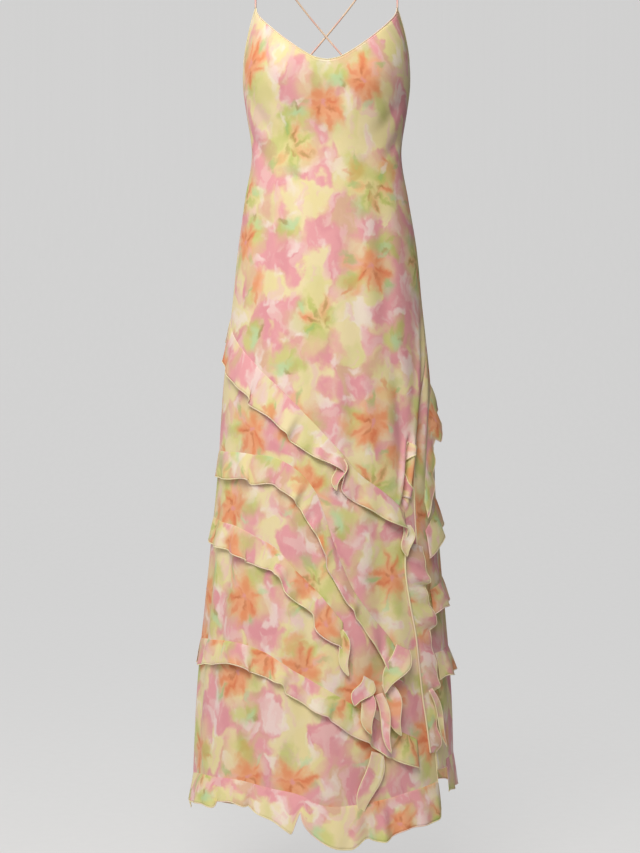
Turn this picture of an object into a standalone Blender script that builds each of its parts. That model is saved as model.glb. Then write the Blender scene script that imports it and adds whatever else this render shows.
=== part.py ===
"""Full-length slip dress with crossed cord straps and diagonal flounces, filled out as if worn.

The dress hangs from the shoulders: the origin lies midway between the two strap tops, +Z is up,
the front faces -Y and +X is the wearer's left. Every drop is measured down from the shoulders.
"""

import math
from collections import namedtuple

import bpy
import numpy as np

# Cloth and seams, in metres
PANEL_CLOTH = 0.0015
FLOUNCE_CLOTH = 0.0012
SEAM_GAP = 0.0007
FLOUNCE_LIFT = 0.0012
SLIT_FLOUNCE_LIFT = 0.0008
SLIT_TOP = 0.845
SLIT_OPENING_AT_HEM = 0.003

# Lengths and levels, in metres below the shoulders
HEM_DROP = 1.415
UNDERARM_DROP = 0.231
LEVEL_ROWS_FROM = 0.400
HEM_FADE = 0.300
BACK_HEM_RISE_AT_SLIT = 0.045
BACK_NECK_DIP = 0.030

# Straps
STRAP_RADIUS = 0.0020
STRAP_END_GAP = 0.0006
STRAP_SPACING = 0.118
STRAP_CROSS_DROP = 0.157
STRAP_CROSS_DEPTH = 0.098
STRAP_BACK_REACH = 0.074
STRAP_POINTS = 26
STRAP_RISE = (0.0006, 0.010, 0.060)
STRAP_TILT = 68.0

# Points on a strap, as its distance from the middle in shares of the spacing at the shoulders,
# how far back and how far down it lies, and its share of keeping clear of the other strap
StrapPoint = namedtuple("StrapPoint", "spread back drop clear")
STRAP_LINE = [
    StrapPoint(1.00, -0.026, 0.026, 0.0),
    StrapPoint(1.00, -0.002, -STRAP_RADIUS, 0.0),
    StrapPoint(0.94, 0.030, 0.022, 0.0),
    StrapPoint(0.68, 0.066, 0.060, 0.0),
    StrapPoint(0.34, 0.090, 0.110, 0.5),
    StrapPoint(0.00, STRAP_CROSS_DEPTH, STRAP_CROSS_DROP, 1.0),
]
# The share of the way from its end up to the crossing at which the strap passes its last point
STRAP_LAST_SHARE = 0.55

# Bust cups, which the darts shape
CUP_SIDE = 0.074
CUP_DROP = 0.262
CUP_WIDTH = 0.046
CUP_HEIGHT = 0.050
CUP_DEPTH = 0.013

# Soft flutes of the skirt, which grow towards the hem
FLUTES = 7
FLUTES_FROM = 1.000
FLUTE_DEPTH = 0.0045

# A horizontal section: half its width, how far it reaches to the front and the back of the
# shoulder line, where its middle lies, and how square it is (2 is an ellipse)
Section = namedtuple("Section", "drop half_width front back middle squareness")
SECTIONS = [
    Section(0.140, 0.1190, 0.094, 0.086, 0.0005, 2.9),
    Section(0.190, 0.1295, 0.102, 0.090, 0.0010, 2.7),
    Section(0.228, 0.1345, 0.108, 0.092, 0.0010, 2.5),
    Section(0.264, 0.1350, 0.110, 0.091, 0.0010, 2.3),
    Section(0.315, 0.1300, 0.104, 0.087, 0.0010, 2.2),
    Section(0.375, 0.1230, 0.096, 0.086, 0.0010, 2.1),
    Section(0.450, 0.1345, 0.099, 0.104, 0.0010, 2.1),
    Section(0.533, 0.1475, 0.105, 0.124, 0.0020, 2.0),
    Section(0.615, 0.1555, 0.111, 0.133, 0.0015, 2.0),
    Section(0.741, 0.1690, 0.122, 0.140, 0.0010, 2.0),
    Section(0.929, 0.1805, 0.138, 0.156, -0.0005, 2.0),
    Section(1.044, 0.1905, 0.148, 0.170, -0.0015, 2.0),
    Section(1.259, 0.2095, 0.168, 0.196, -0.0030, 2.0),
    Section(1.415, 0.2165, 0.180, 0.212, -0.0040, 2.0),
    Section(1.500, 0.2195, 0.186, 0.218, -0.0040, 2.0),
]

# The wearer's left seam, as an angle round the body from the front: it leaves the underarm,
# comes forward over the hip and carries the slit down the thigh
Seam = namedtuple("Seam", "drop angle")
LEFT_SEAM = [
    Seam(0.140, 90.0),
    Seam(0.520, 90.0),
    Seam(0.650, 82.0),
    Seam(0.790, 64.0),
    Seam(0.900, 53.0),
    Seam(1.050, 51.0),
    Seam(1.250, 53.0),
    Seam(1.500, 59.0),
]
RIGHT_SEAM = -90.0

# The front's top edge: the neckline from the middle to the strap point, then the armhole
Edge = namedtuple("Edge", "share drop")
FRONT_TOP = [
    Edge(0.00, 0.2440),
    Edge(0.06, 0.2400),
    Edge(0.13, 0.2300),
    Edge(0.24, 0.2120),
    Edge(0.36, 0.1940),
    Edge(0.48, 0.1790),
    Edge(0.60, 0.1660),
    Edge(0.69, 0.1560),
    Edge(0.76, 0.1480),
    Edge(0.83, 0.1680),
    Edge(0.91, 0.1990),
    Edge(1.00, UNDERARM_DROP),
]
STRAP_SHARE = 0.76

PANEL_ROWS = [
    0.231, 0.255, 0.280, 0.310, 0.345, 0.385, 0.430, 0.480, 0.535, 0.595, 0.660,
    0.730, 0.800, 0.870, 0.945, 1.025, 1.105, 1.185, 1.265, 1.340, 1.415,
]
BACK_COLUMNS = 26

# Places along a flounce where a wave starts, as a share of its length, and how high that wave is
Wave = namedtuple("Wave", "start height")


def even_waves(count, height):
    """Waves of one height, spaced a little unevenly."""
    drift = 0.25 / count
    return [Wave(k / count + drift * math.sin(2.4 * k) * (k > 0), height) for k in range(count)]


# One flounce: its sewn line as (angle round the body, drop), its width from seam to free edge,
# how far the free edge stands out, how much narrower it looks between two waves, its share of
# hanging straight down, its waves, and the side it hangs to where its line runs down the dress
Flounce = namedtuple("Flounce", "name line width stand_out notch sag waves side")
FRONT_FLOUNCES = [
    Flounce("flounce_front_1",
            [(-89, 0.640), (-60, 0.690), (-30, 0.752), (-10, 0.806), (5, 0.855), (18, 0.899),
             (32, 0.930), (43, 0.958)],
            0.046, 0.004, 0.12, 0.40,
            [Wave(0.0, 0.010), Wave(0.09, 0.013), Wave(0.265, 0.013), Wave(0.44, 0.018), Wave(0.70, 0.018)], 0),
    Flounce("flounce_front_2",
            [(-89, 0.862), (-70, 0.863), (-45, 0.866), (-27, 0.872), (-14, 0.893), (-6, 0.920),
             (-1, 0.955), (3, 0.996), (8, 1.040), (14, 1.083), (23, 1.122), (31, 1.155), (36, 1.190)],
            0.044, 0.004, 0.12, 0.45,
            [Wave(0.0, 0.013), Wave(0.19, 0.011), Wave(0.36, 0.013), Wave(0.53, 0.012), Wave(0.78, 0.015)],
            0),
    Flounce("flounce_front_3",
            [(-89, 0.970), (-60, 0.978), (-44, 0.987), (-25, 1.014), (-12, 1.053), (0, 1.093), (8, 1.126)],
            0.043, 0.004, 0.12, 0.45,
            [Wave(0.0, 0.014), Wave(0.27, 0.011), Wave(0.50, 0.012), Wave(0.75, 0.013)], 0),
    Flounce("flounce_front_4",
            [(-89, 1.172), (-60, 1.165), (-43, 1.164), (-30, 1.173), (-19, 1.191), (-10, 1.208),
             (0, 1.227), (9, 1.246), (17, 1.264), (26, 1.284), (35, 1.300), (43, 1.314)],
            0.045, 0.004, 0.12, 0.35,
            [Wave(0.0, 0.014), Wave(0.20, 0.010), Wave(0.36, 0.013), Wave(0.62, 0.012), Wave(0.82, 0.014)],
            0),
    Flounce("hem_flounce_front",
            [(-89, 1.396), (-60, 1.380), (-40, 1.376), (-22, 1.384), (-11, 1.389), (0, 1.405),
             (12, 1.406), (25, 1.402), (44, 1.391), (56, 1.386)],
            0.064, 0.007, 0.36, 0.50,
            [Wave(0.0, 0.019), Wave(0.24, 0.010), Wave(0.35, 0.015), Wave(0.54, 0.017), Wave(0.70, 0.013),
             Wave(0.84, 0.010)], 0),
]
BACK_FLOUNCES = [
    Flounce("flounce_back_1",
            [(269, 0.640), (225, 0.655), (180, 0.680), (135, 0.711), (104, 0.735), (88, 0.753),
             (78, 0.785), (71, 0.820), (67, 0.860), (64, 0.900), (61, 0.945)],
            0.045, 0.004, 0.12, 0.40, even_waves(9, 0.012)[:7] + [Wave(0.80, 0.004), Wave(0.90, 0.004)], 0),
    Flounce("flounce_back_2",
            [(269, 0.862), (225, 0.870), (180, 0.890), (135, 0.912), (100, 0.930), (78, 0.955),
             (60, 0.990)],
            0.045, 0.004, 0.12, 0.40, even_waves(9, 0.012), 0),
    Flounce("flounce_back_3",
            [(269, 0.970), (225, 0.988), (180, 1.016), (135, 1.046), (100, 1.066), (78, 1.076),
             (60, 1.085)],
            0.042, 0.004, 0.12, 0.40, even_waves(9, 0.012), 0),
    Flounce("flounce_back_4",
            [(269, 1.172), (225, 1.176), (180, 1.180), (135, 1.185), (100, 1.186), (60, 1.186)],
            0.045, 0.004, 0.12, 0.40, even_waves(9, 0.014), 0),
    Flounce("hem_flounce_back",
            [(269, 1.400), (225, 1.400), (180, 1.394), (135, 1.380), (100, 1.366), (68, 1.358)],
            0.056, 0.004, 0.20, 0.50, even_waves(10, 0.010), 0),
]
SLIT_FLOUNCES = [
    Flounce("slit_flounce_upper",
            [(49.0, 0.848), (46.4, 0.872), (45.0, 0.900), (43.4, 0.936)],
            0.021, 0.004, 0.10, 0.20, [Wave(0.0, 0.005), Wave(0.5, 0.006)], 1),
    Flounce("slit_flounce_lower",
            [(42.0, 1.005), (40.5, 1.050), (42.0, 1.100), (44.5, 1.150), (45.5, 1.200),
             (46.5, 1.250), (48.5, 1.300), (50.0, 1.340)],
            0.046, 0.008, 0.20, 0.15,
            [Wave(0.0, 0.009), Wave(0.20, 0.011), Wave(0.42, 0.012), Wave(0.70, 0.010)], 1),
]
WAVE_COLUMNS = 6
COLUMN_SPACING = 0.012
FLOUNCE_ROWS = 3
WAVE_LEAN = 0.62
END_TAPER = 0.030
END_FULLNESS = 0.35
DRAPE_CURVE = 1.25
SLOPE_STEP = 0.004

# The cloth's ground colours
CREAM = (0.83, 0.72, 0.45, 1.0)
BLUSH = (0.82, 0.52, 0.50, 1.0)
ROSE = (0.70, 0.36, 0.36, 1.0)


def clear_scene():
    """Removes everything the scene starts with."""
    for thing in list(bpy.data.objects):
        bpy.data.objects.remove(thing, do_unlink=True)


def material(name, colour, roughness):
    """A plain cloth colour."""
    made = bpy.data.materials.new(name)
    made.use_nodes = True
    shader = made.node_tree.nodes["Principled BSDF"]
    shader.inputs["Base Color"].default_value = colour
    shader.inputs["Roughness"].default_value = roughness
    shader.inputs["Metallic"].default_value = 0.0
    return made


def smooth(knots, values, at):
    """The value at a place on the smooth curve through a table's points."""
    knots = np.asarray(knots, float)
    values = np.asarray(values, float)
    slopes = np.gradient(values, knots)
    k = int(np.clip(np.searchsorted(knots, at) - 1, 0, len(knots) - 2))
    span = knots[k + 1] - knots[k]
    t = min(max((at - knots[k]) / span, 0.0), 1.0)
    rise = values[k + 1] - values[k]
    inner = (1 - t) * (slopes[k] * span - rise) - t * (slopes[k + 1] * span - rise)
    return values[k] + t * rise + t * (1 - t) * inner


def section_at(drop):
    """The section of the body of the dress at a drop."""
    drops = [s.drop for s in SECTIONS]
    columns = zip(*[s[1:] for s in SECTIONS])
    return Section(drop, *[smooth(drops, column, drop) for column in columns])


def left_seam(drop):
    """The angle of the wearer's left seam at a drop."""
    return smooth([s.drop for s in LEFT_SEAM], [s.angle for s in LEFT_SEAM], drop)


def seam_opening(drop):
    """Half the gap between the two panels at the left seam, which widens down the slit."""
    down_slit = min(max((drop - SLIT_TOP) / (HEM_DROP - SLIT_TOP), 0.0), 1.0)
    return (SEAM_GAP + (SLIT_OPENING_AT_HEM - SEAM_GAP) * down_slit) / 2


def squared(value, squareness):
    """A sine or cosine, pushed outwards as the section is more square."""
    return math.copysign(abs(value) ** (2 / squareness), value)


def skin(angle, drop):
    """The outer surface of the dress's body at an angle round it from the front, and a drop."""
    turn = math.radians(angle)
    s = section_at(drop)
    half_depth = (s.front + s.back) / 2
    across = squared(math.sin(turn), s.squareness)
    along = squared(math.cos(turn), s.squareness)
    x = s.middle + s.half_width * across
    y = (s.back - s.front) / 2 - half_depth * along
    outwards = np.array([math.sin(turn) / s.half_width, -math.cos(turn) / half_depth, 0.0])
    outwards /= np.linalg.norm(outwards)
    bulge = 0.0
    if math.cos(turn) > 0:
        for side in (-1, 1):
            sideways = (x - side * CUP_SIDE) / CUP_WIDTH
            upwards = (drop - CUP_DROP) / CUP_HEIGHT
            bulge += CUP_DEPTH * math.exp(-sideways ** 2 - upwards ** 2)
    grown = min(max((drop - FLUTES_FROM) / (HEM_DROP - FLUTES_FROM), 0.0), 1.0)
    bulge += FLUTE_DEPTH * grown * math.cos(FLUTES * turn)
    return np.array([x, y, -drop]) + outwards * bulge


def outward_normal(angle, drop):
    """The direction that faces away from the wearer at a place on the body of the dress."""
    step_round, step_down = 1.0, 0.010
    round_it = skin(angle + step_round, drop) - skin(angle - step_round, drop)
    down_it = skin(angle, drop + step_down) - skin(angle, drop - step_down)
    normal = np.cross(down_it, round_it)
    return normal / np.linalg.norm(normal)


class Panel:
    """A cut panel as a grid of points on the dress's outer surface, in columns and rows."""

    def __init__(self, shares, angle_of, share_of, top_of, hem_of):
        self.shares = shares
        self.share_of = share_of
        self.drops = []
        self.points = []
        for share in shares:
            drops = [self.row_drop(level, top_of(share), hem_of(share)) for level in PANEL_ROWS]
            self.drops.append(drops)
            self.points.append([skin(angle_of(share, drop), drop) for drop in drops])

    @staticmethod
    def row_drop(level, top, hem):
        """A row starts at the top edge's own drop, runs level down the body and ends at the hem."""
        from_top = (level - UNDERARM_DROP) / (LEVEL_ROWS_FROM - UNDERARM_DROP)
        from_hem = (HEM_DROP - level) / HEM_FADE
        near_top = max(0.0, 1.0 - from_top) ** 2
        near_hem = max(0.0, 1.0 - from_hem) ** 2
        return level + (top - UNDERARM_DROP) * near_top + (hem - HEM_DROP) * near_hem

    def at(self, angle, drop):
        """The point of the faceted panel at an angle and drop, which runs on below the hem."""
        columns = len(self.shares)
        place = np.interp(self.share_of(angle, drop), self.shares, range(columns))
        left = int(min(place, columns - 2))
        sides = []
        for column in (left, left + 1):
            drops = self.drops[column]
            above = int(np.clip(np.searchsorted(drops, drop) - 1, 0, len(drops) - 2))
            share_down = (drop - drops[above]) / (drops[above + 1] - drops[above])
            upper, lower = self.points[column][above], self.points[column][above + 1]
            sides.append(upper + (lower - upper) * share_down)
        return sides[0] + (sides[1] - sides[0]) * (place - left)

    def grid(self):
        """The points by row, for a loft."""
        return [list(row) for row in zip(*self.points)]


def seam_turn(drop):
    """Half the opening of the left seam as an angle."""
    s = section_at(drop)
    return math.degrees(seam_opening(drop) / s.half_width)


def front_angle(share, drop):
    """Shares run from -1 at the right seam, over 0 at the middle, to 1 at the left seam."""
    if share < 0:
        return -share * (RIGHT_SEAM + math.degrees(SEAM_GAP / section_at(drop).front))
    return share * (left_seam(drop) - seam_turn(drop))


def front_share(angle, drop):
    """The share that an angle has on the front panel."""
    return -angle / RIGHT_SEAM if angle < 0 else angle / left_seam(drop)


def back_angle(share, drop):
    """Shares run from 0 at the left seam, round the back, to 1 at the right seam."""
    start = left_seam(drop) + seam_turn(drop)
    return start + share * (360 + RIGHT_SEAM - start)


def back_share(angle, drop):
    """The share that an angle has on the back panel."""
    start = left_seam(drop)
    return (angle - start) / (360 + RIGHT_SEAM - start)


def front_top(share):
    """The drop of the front's neckline or armhole."""
    return float(np.interp(abs(share), [e.share for e in FRONT_TOP], [e.drop for e in FRONT_TOP]))


def back_top(share):
    """The drop of the back's top edge, which dips a little between the underarms."""
    return UNDERARM_DROP + BACK_NECK_DIP * math.sin(math.pi * share)


def back_hem(share):
    """The back hem rises towards the slit."""
    return HEM_DROP - BACK_HEM_RISE_AT_SLIT * (1 - share) ** 1.5


def make_panels():
    """The front and the back panel, as grids."""
    half = [e.share for e in FRONT_TOP]
    shares = [-s for s in reversed(half[1:])] + half
    front = Panel(shares, front_angle, front_share, front_top, lambda share: HEM_DROP)
    back_shares = [k / BACK_COLUMNS for k in range(BACK_COLUMNS + 1)]
    back = Panel(back_shares, back_angle, back_share, back_top, back_hem)
    return front, back


def cloth_sheet(name, grid, thickness, towards, colour, collection):
    """A sheet of cloth lofted through rows of points, with its wall built towards one side."""
    rows, columns = len(grid), len(grid[0])
    points = [tuple(point) for row in grid for point in row]
    faces = []
    for r in range(rows - 1):
        for c in range(columns - 1):
            corner = r * columns + c
            faces.append((corner, corner + columns, corner + columns + 1, corner + 1))
    mesh = bpy.data.meshes.new(name)
    mesh.from_pydata(points, [], faces)
    mesh.shade_smooth()
    mesh.materials.append(colour)
    sheet = bpy.data.objects.new(name, mesh)
    collection.objects.link(sheet)
    wall = sheet.modifiers.new("cloth thickness", "SOLIDIFY")
    wall.thickness = thickness
    wall.offset = towards
    return sheet


def wave_at(place, waves):
    """Which wave a place lies in, and 0 in each valley rising to 1 on the crest, which leans on."""
    ends = [w.start for w in waves] + [1.0]
    k = int(np.clip(np.searchsorted(ends, place) - 1, 0, len(waves) - 1))
    within = min(max((place - ends[k]) / (ends[k + 1] - ends[k]), 0.0), 1.0)
    leaning = within ** (math.log(0.5) / math.log(WAVE_LEAN))
    return waves[k], math.sin(math.pi * leaning) ** 1.2


def line_lengths(angles, drops):
    """How far along a sewn line each of its points lies."""
    points = [skin(a, d) for a, d in zip(angles, drops)]
    steps = [np.linalg.norm(q - p) for p, q in zip(points, points[1:])]
    return np.concatenate([[0.0], np.cumsum(steps)])


def flounce_grid(flounce, surface):
    """Rows of points of a flounce, from its sewn line to its free edge."""
    angles, drops = zip(*flounce.line)
    along = line_lengths(angles, drops)
    length = along[-1]
    starts = [w.start for w in flounce.waves] + [1.0]
    places = [0.0]
    for start, end in zip(starts, starts[1:]):
        columns = max(WAVE_COLUMNS, math.ceil((end - start) * length / COLUMN_SPACING))
        places.extend(np.linspace(start, end, columns + 1)[1:])
    seam_lift = SLIT_FLOUNCE_LIFT if flounce.side else FLOUNCE_LIFT
    rows = [[] for _ in range(FLOUNCE_ROWS + 1)]
    for place in places:
        here, ahead = place * length, min(place * length + SLOPE_STEP, length)
        behind = max(place * length - SLOPE_STEP, 0.0)
        angle, drop = smooth(along, angles, here), smooth(along, drops, here)
        radius = np.linalg.norm(skin(angle + 0.5, drop) - skin(angle - 0.5, drop))
        run = (smooth(along, angles, ahead) - smooth(along, angles, behind)) * radius
        fall = smooth(along, drops, ahead) - smooth(along, drops, behind)
        across = np.array([-fall, run]) / math.hypot(run, fall)
        turned = across[1] < 0 if flounce.side == 0 else across[0] * flounce.side < 0
        if turned:
            across = -across
        from_end = min(min(here, length - here) / END_TAPER, 1.0)
        fullness = END_FULLNESS + (1 - END_FULLNESS) * from_end
        sag = flounce.sag if flounce.side else 1 - (1 - flounce.sag) * from_end
        hang = across * (1 - sag) + np.array([0.0, sag])
        hang /= np.linalg.norm(hang)
        wave, crest = wave_at(place, flounce.waves)
        reach = (flounce.stand_out + wave.height * crest) * fullness
        slope = reach / flounce.width
        width = flounce.width * (1 - flounce.notch * (1 - crest)) * (1 - slope ** 2 / 2)
        for r in range(FLOUNCE_ROWS + 1):
            share = r / FLOUNCE_ROWS
            down = hang * width * share
            angle_here, drop_here = angle + down[0] / radius, drop + down[1]
            lift = seam_lift + reach * share ** DRAPE_CURVE
            rows[r].append(surface(angle_here, drop_here) + outward_normal(angle_here, drop_here) * lift)
    return rows


def facing_out(grid):
    """The rows, with their columns turned round if the sheet would face the wearer."""
    middle, centre = len(grid) // 2, len(grid[0]) // 2
    here = grid[middle][centre]
    sideways = grid[middle][centre + 1] - here
    down = grid[middle + 1][centre] - here if middle + 1 < len(grid) else here - grid[middle - 1][centre]
    normal = np.cross(down, sideways)
    away = np.array([here[0], here[1], 0.0])
    return grid if normal @ away > 0 else [row[::-1] for row in grid]


def strap_route(side, outer):
    """A cord strap: up from its cup to the shoulder, then down the back to the other side."""
    share = side * STRAP_SHARE
    cup_drop = front_top(share)
    inwards = -outward_normal(side * STRAP_TILT, cup_drop)
    cup = skin(front_angle(share, cup_drop), cup_drop) + inwards * PANEL_CLOTH / 2
    start = cup + np.array([0, 0, STRAP_END_GAP])
    end_angle = 180 + side * math.degrees(math.asin(STRAP_BACK_REACH / section_at(UNDERARM_DROP).half_width))
    end_share = back_share(end_angle, UNDERARM_DROP)
    end = skin(end_angle, back_top(end_share)) + np.array([0, -PANEL_CLOTH / 2, STRAP_RADIUS * 0.7 + STRAP_END_GAP])
    key = [start, start + np.array(STRAP_RISE) * (side, 1, 1)]
    for point in STRAP_LINE:
        depth = point.back + outer * STRAP_RADIUS * point.clear
        key.append(np.array([side * STRAP_SPACING * point.spread, depth, -point.drop]))
    crossing = key[-1] + np.array([0, STRAP_RADIUS, 0])
    key += [end + (crossing - end) * STRAP_LAST_SHARE, end]
    steps = [np.linalg.norm(b - a) for a, b in zip(key, key[1:])]
    along = np.concatenate([[0.0], np.cumsum(steps)])
    places = np.linspace(0, along[-1], STRAP_POINTS)
    return [[smooth(along, [p[axis] for p in key], at) for axis in range(3)] for at in places]


def strap(name, side, outer, colour, collection):
    """A round cord strap as a bevelled curve with closed ends."""
    route = strap_route(side, outer)
    curve = bpy.data.curves.new(name, "CURVE")
    curve.dimensions = "3D"
    curve.bevel_depth = STRAP_RADIUS
    curve.bevel_resolution = 2
    curve.use_fill_caps = True
    line = curve.splines.new("POLY")
    line.points.add(len(route) - 1)
    for point, place in zip(line.points, route):
        point.co = (*place, 1.0)
    curve.materials.append(colour)
    made = bpy.data.objects.new(name, curve)
    collection.objects.link(made)
    return made


def main():
    """Builds the dress."""
    clear_scene()
    dress = bpy.data.collections.new("slip dress with flounces")
    bpy.context.scene.collection.children.link(dress)
    printed = material("printed panel cloth", CREAM, 0.75)
    flounced = material("printed flounce cloth", BLUSH, 0.75)
    corded = material("strap cord", ROSE, 0.65)

    front, back = make_panels()
    cloth_sheet("front_panel", facing_out(front.grid()), PANEL_CLOTH, -1, printed, dress)
    cloth_sheet("back_panel", facing_out(back.grid()), PANEL_CLOTH, -1, printed, dress)

    def either(angle, drop):
        panel = front if angle <= left_seam(drop) else back
        return panel.at(angle, drop)

    for group, surface in ((FRONT_FLOUNCES, front.at), (BACK_FLOUNCES, back.at), (SLIT_FLOUNCES, either)):
        for flounce in group:
            grid = facing_out(flounce_grid(flounce, surface))
            cloth_sheet(flounce.name, grid, FLOUNCE_CLOTH, 1, flounced, dress)

    strap("strap_left", 1, 1, corded, dress)
    strap("strap_right", -1, -1, corded, dress)


main()
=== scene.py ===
"""Looks of the full-length slip dress: thin printed chiffon on the frame's forms, flounces with
rolled hems, cord straps, stitching, and the stage, lights and camera.

The frame's origin lies between the strap tops, +Z is up, the front faces -Y and +X is the
wearer's left. Drops are measured down from the shoulders, in metres.
"""

import math
from collections import namedtuple

import bpy
import numpy as np
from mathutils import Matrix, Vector

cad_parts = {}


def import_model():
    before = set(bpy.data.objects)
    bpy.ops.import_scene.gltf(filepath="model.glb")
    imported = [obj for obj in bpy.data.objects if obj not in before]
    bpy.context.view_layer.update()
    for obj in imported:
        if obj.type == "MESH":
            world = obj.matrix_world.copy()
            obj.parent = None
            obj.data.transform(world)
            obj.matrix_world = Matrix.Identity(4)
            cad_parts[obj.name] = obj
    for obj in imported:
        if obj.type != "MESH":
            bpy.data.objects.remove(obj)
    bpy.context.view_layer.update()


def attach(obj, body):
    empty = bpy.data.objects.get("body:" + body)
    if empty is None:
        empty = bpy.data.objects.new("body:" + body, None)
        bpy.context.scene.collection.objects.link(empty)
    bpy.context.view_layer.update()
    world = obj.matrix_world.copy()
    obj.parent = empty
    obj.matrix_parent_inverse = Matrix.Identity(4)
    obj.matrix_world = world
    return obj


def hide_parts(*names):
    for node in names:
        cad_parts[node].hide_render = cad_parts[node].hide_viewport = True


# Cloth, in metres
CHIFFON = 0.0005
FLOUNCE_LIFT = 0.0004
SEAM_TUCK = 0.0013
HEM_ROLL = 0.0010
LEAF_HEM_ROLL = 0.0008
STITCH_LENGTH = 0.0022
STITCH_STEP = 0.0034
STITCH_WIDTH = 0.00045
TOP_EDGE = 0.0009
TOPSTITCH_DOWN = 0.0045
TOPSTITCH_LIFT = 0.0002
SLIT_STEPS = 160
WELT_RADIUS = 0.0015
WELT_LIFT = 0.0028
SLIT_TOP = 0.845
SEAM_GAP = 0.0004
RIGHT_SEAM_REACH = 0.15
SLIT_OPENING_AT_HEM = 0.003

# Levels of the dress, as the frame has them
HEM_DROP = 1.415
UNDERARM_DROP = 0.231
LEVEL_ROWS_FROM = 0.400
HEM_FADE = 0.300
BACK_HEM_RISE_AT_SLIT = 0.045
BACK_NECK_DIP = 0.030
RIGHT_SEAM = -90.0

# Straps
STRAP_RADIUS = 0.0020
CORD_RADIUS = 0.0016
STRAP_END_GAP = 0.0002
STRAP_SPACING = 0.118
STRAP_CROSS_DROP = 0.157
STRAP_CROSS_DEPTH = 0.098
STRAP_BACK_REACH = 0.074
STRAP_SHARE = 0.76
STRAP_RISE = (0.0006, 0.010, 0.060)
STRAP_LAST_SHARE = 0.55
STRAP_STEPS = 150

StrapPoint = namedtuple("StrapPoint", "spread back drop clear")
STRAP_LINE = [
    StrapPoint(1.00, -0.026, 0.026, 0.0),
    StrapPoint(1.00, -0.002, -STRAP_RADIUS, 0.0),
    StrapPoint(0.94, 0.030, 0.022, 0.0),
    StrapPoint(0.68, 0.066, 0.060, 0.0),
    StrapPoint(0.34, 0.090, 0.110, 0.5),
    StrapPoint(0.00, STRAP_CROSS_DEPTH, STRAP_CROSS_DROP, 1.0),
]

# Bust cups and skirt flutes
CUP_SIDE = 0.074
CUP_DROP = 0.262
CUP_WIDTH = 0.046
CUP_HEIGHT = 0.050
CUP_DEPTH = 0.013
FLUTES = 7
FLUTES_FROM = 1.000
FLUTE_DEPTH = 0.0045

# Mesh sizes
PANEL_COLUMNS = 132
PANEL_ROWS = 236
FLOUNCE_COLUMN_STEP = 0.0028
FLOUNCE_ROWS = 13
EDGE_SIDES = 6
CORD_SIDES = 12

# Stage, whose painted glow is strongest behind the dress and fainter in front and to the right
FLOOR = -1.620
STAGE_FRONT = -9.0
BACKDROP = 6.5
BACKDROP_TOP = 8.0
COVE = 2.6
COVE_STEPS = 16
STAGE_HALF_WIDTH = 2.3
STAGE_GLOW = 0.49
FRONT_GLOW = 0.25
SIDE_GLOW = 0.20

# The key light, and the world's colours on the photo's left and right with the fade between them
KEY_PLACE = (-0.46, -2.0, 1.10)
KEY_TARGET = (0, 0, -0.55)
KEY_SIZE = 1.4
KEY_POWER = 51
KEY_COLOUR = (1.0, 0.98, 0.92)
WORLD_LEFT = (1.0, 0.98, 0.96, 1.0)
WORLD_RIGHT = (0.035, 0.022, 0.012, 1.0)
WORLD_FADE = (0.1, 0.85)
WORLD_STRENGTH = 0.55

# Photo camera
FOCAL_PIXELS = 1575.8
PHOTO_HEIGHT = 853
CAMERA_PLACE = (-0.0099, -2.6, -0.824)
SENSOR = 36.0
CAMERA_REACH = 60

# Level sections of the body: half the width, how far the front and the back reach from the middle,
# how far the section's own middle lies aside, and 2 for an ellipse or more for a squarer form
Section = namedtuple("Section", "drop half_width front back middle squareness")
SECTIONS = [
    Section(0.140, 0.1190, 0.094, 0.086, 0.0005, 2.9),
    Section(0.190, 0.1295, 0.102, 0.090, 0.0010, 2.7),
    Section(0.228, 0.1345, 0.108, 0.092, 0.0010, 2.5),
    Section(0.264, 0.1350, 0.110, 0.091, 0.0010, 2.3),
    Section(0.315, 0.1300, 0.104, 0.087, 0.0010, 2.2),
    Section(0.375, 0.1230, 0.096, 0.086, 0.0010, 2.1),
    Section(0.450, 0.1345, 0.099, 0.104, 0.0010, 2.1),
    Section(0.533, 0.1475, 0.105, 0.124, 0.0020, 2.0),
    Section(0.615, 0.1555, 0.111, 0.133, 0.0015, 2.0),
    Section(0.741, 0.1690, 0.122, 0.140, 0.0010, 2.0),
    Section(0.929, 0.1805, 0.138, 0.156, -0.0005, 2.0),
    Section(1.044, 0.1905, 0.148, 0.170, -0.0015, 2.0),
    Section(1.259, 0.2095, 0.168, 0.196, -0.0030, 2.0),
    Section(1.415, 0.2165, 0.180, 0.212, -0.0040, 2.0),
    Section(1.500, 0.2195, 0.186, 0.218, -0.0040, 2.0),
]

# Where the left seam and its slit lie, as degrees round from the front
Seam = namedtuple("Seam", "drop angle")
LEFT_SEAM = [
    Seam(0.140, 90.0),
    Seam(0.520, 90.0),
    Seam(0.650, 82.0),
    Seam(0.790, 64.0),
    Seam(0.900, 53.0),
    Seam(1.050, 51.0),
    Seam(1.250, 53.0),
    Seam(1.500, 59.0),
]

# The front's neckline and armhole, from the middle to the side seam
Edge = namedtuple("Edge", "share drop")
FRONT_TOP = [
    Edge(0.00, 0.2440),
    Edge(0.06, 0.2400),
    Edge(0.13, 0.2300),
    Edge(0.24, 0.2120),
    Edge(0.36, 0.1940),
    Edge(0.48, 0.1790),
    Edge(0.60, 0.1660),
    Edge(0.69, 0.1560),
    Edge(0.76, 0.1480),
    Edge(0.83, 0.1680),
    Edge(0.91, 0.1990),
    Edge(1.00, UNDERARM_DROP),
]

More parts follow.
